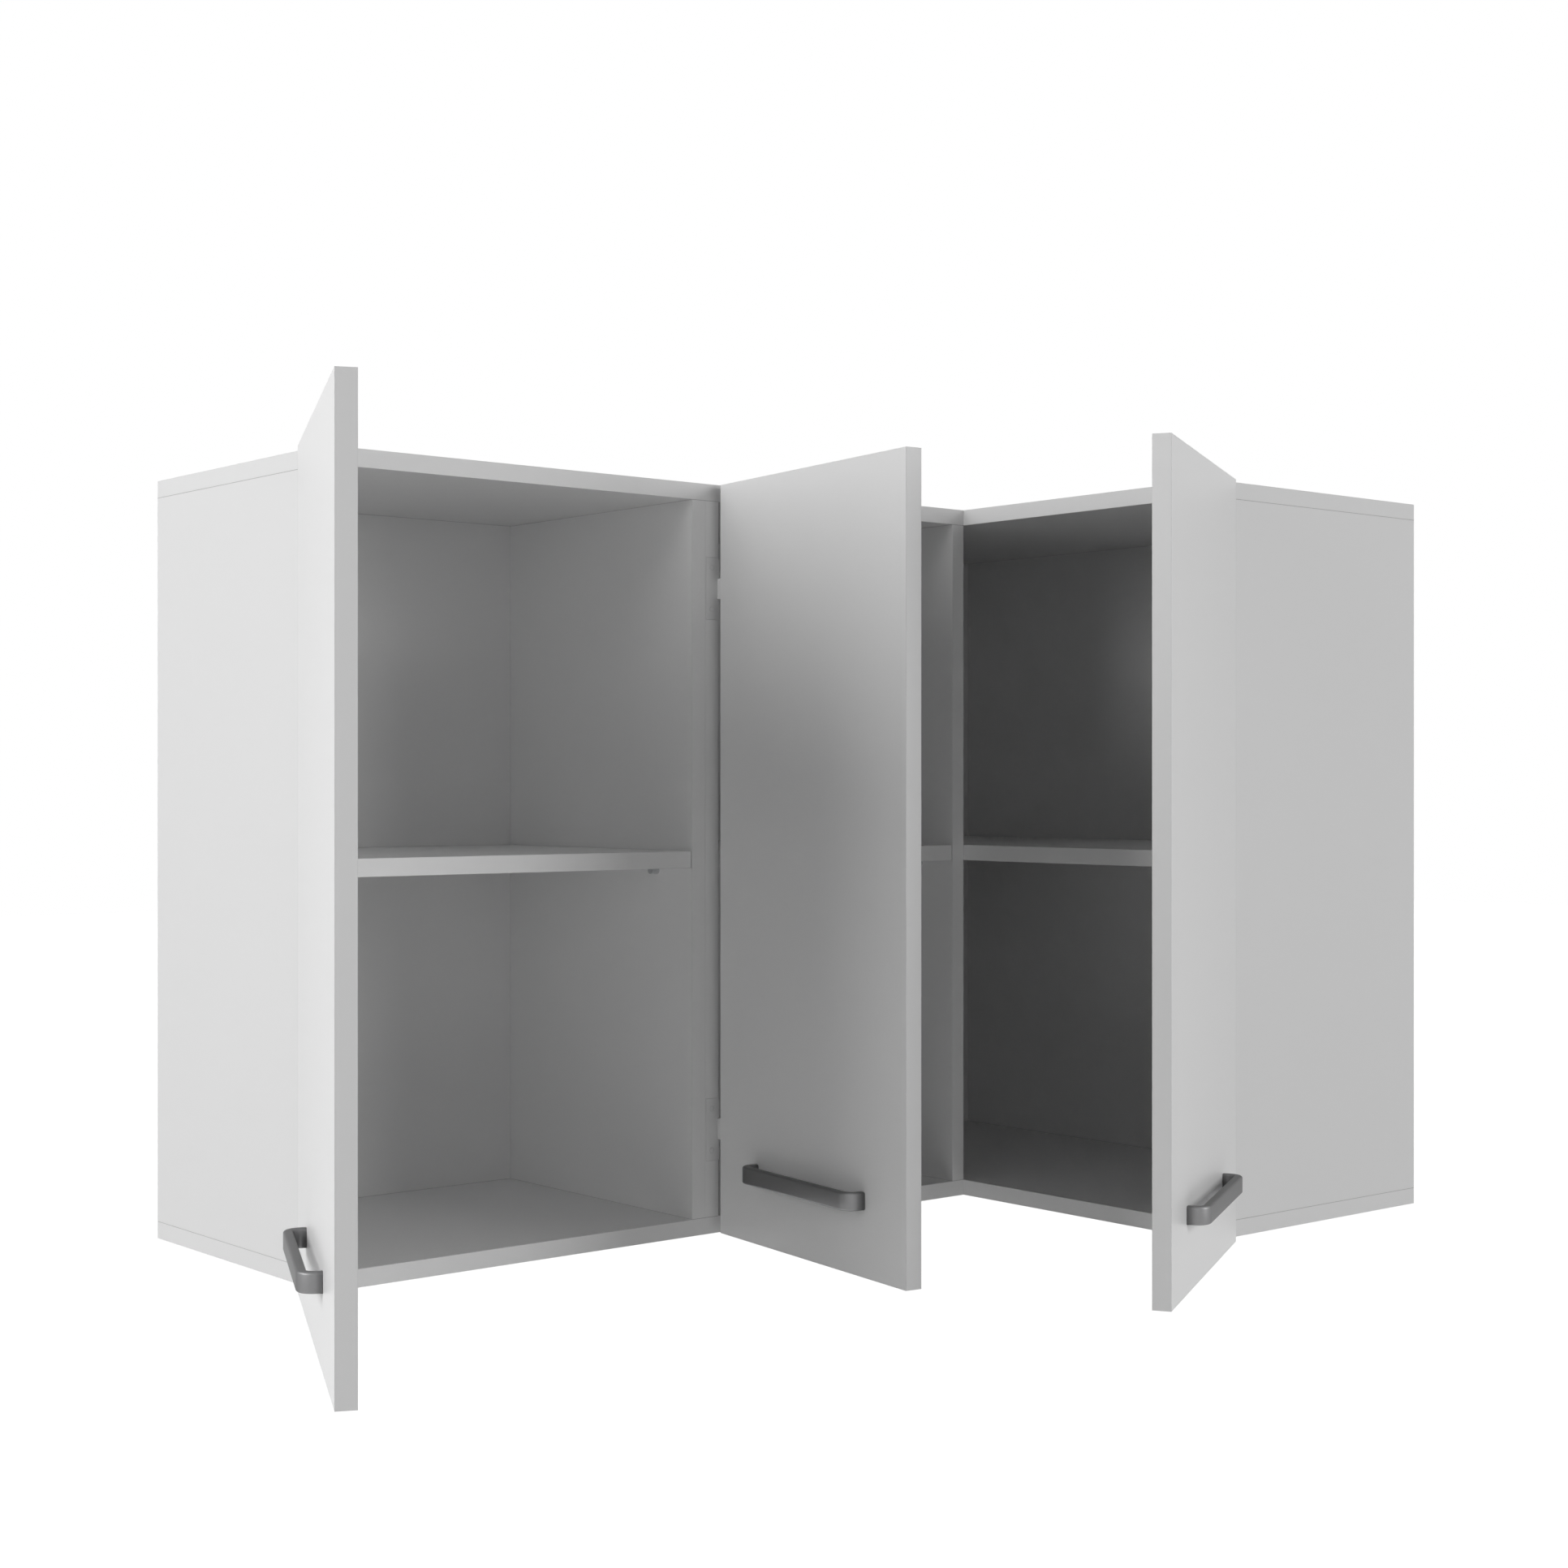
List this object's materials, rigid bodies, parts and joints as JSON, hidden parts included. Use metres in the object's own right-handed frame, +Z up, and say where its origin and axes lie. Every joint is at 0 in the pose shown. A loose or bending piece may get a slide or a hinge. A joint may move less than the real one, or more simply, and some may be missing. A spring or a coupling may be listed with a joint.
{
  "type": "corner wall cabinet",
  "caption": "L-shaped corner wall cabinet with shelves behind hinged doors on both wings, and a bow handle low on each door.",
  "frame": {"origin": "the room corner where the two rear planes meet, at the underside", "axes": "+Y points into the wall behind the left wing, +X into the wall behind the right wing, +Z up"},
  "size_m": [1.264, 0.8339, 0.72],
  "materials": {
    "board_white": "white melamine, satin",
    "door_white": "white melamine, satin",
    "back_board": "white coated hardboard",
    "handle_metal": "satin graphite lacquer",
    "hinge_white": "white lacquer",
    "steel": "zinc plated",
    "dowel_wood": "raw beech",
    "bumper": "matt"
  },
  "bodies": {
    "carcass": {"top_panel_left": "board_white", "top_panel_right": "board_white", "bottom_panel_left": "board_white", "bottom_panel_right": "board_white", "left_end_panel": "board_white", "divider_left_board": "board_white", "divider": "board_white", "corner_partition": "board_white", "right_end_panel": "board_white", "back_panel_left": "back_board", "back_panel_right": "back_board", "shelf_left": "board_white", "shelf_middle": "board_white", "shelf_right": "board_white", "shelf_pins": "steel", "frame_screws": "steel", "seam_dowels": "dowel_wood", "hanger_plates": "steel", "hanger_screws": "steel", "frame_leaves_left": "hinge_white", "frame_leaves_middle": "hinge_white", "frame_leaves_right": "hinge_white", "hinge_pins_left": "steel", "hinge_pins_middle": "steel", "hinge_pins_right": "steel", "frame_leaf_screws": "steel"},
    "door_left": {"door_left": "door_white", "handle_left": "handle_metal", "handle_screws_left": "steel", "door_leaves_left": "hinge_white", "leaf_screws_left": "steel", "bumpers_left": "bumper"},
    "door_middle": {"door_middle": "door_white", "handle_middle": "handle_metal", "handle_screws_middle": "steel", "door_leaves_middle": "hinge_white", "leaf_screws_middle": "steel", "bumpers_middle": "bumper"},
    "door_right": {"door_right": "door_white", "handle_right": "handle_metal", "handle_screws_right": "steel", "door_leaves_right": "hinge_white", "leaf_screws_right": "steel", "bumpers_right": "bumper"}
  },
  "joints": [
    {"name": "left_door_hinge", "type": "hinge", "parent": "carcass", "child": "door_left", "pos_m": [-1.076, -0.317, 0], "axis": [0, 0, -1], "range_deg": [-115, 5]},
    {"name": "middle_door_hinge", "type": "hinge", "parent": "carcass", "child": "door_middle", "pos_m": [-0.64925, -0.3335, 0], "axis": [0, 0, -1], "range_deg": [-98, 7]},
    {"name": "right_door_hinge", "type": "hinge", "parent": "carcass", "child": "door_right", "pos_m": [-0.317, -0.655, 0], "axis": [0, 0, 1], "range_deg": [-120, 5]}
  ]
}
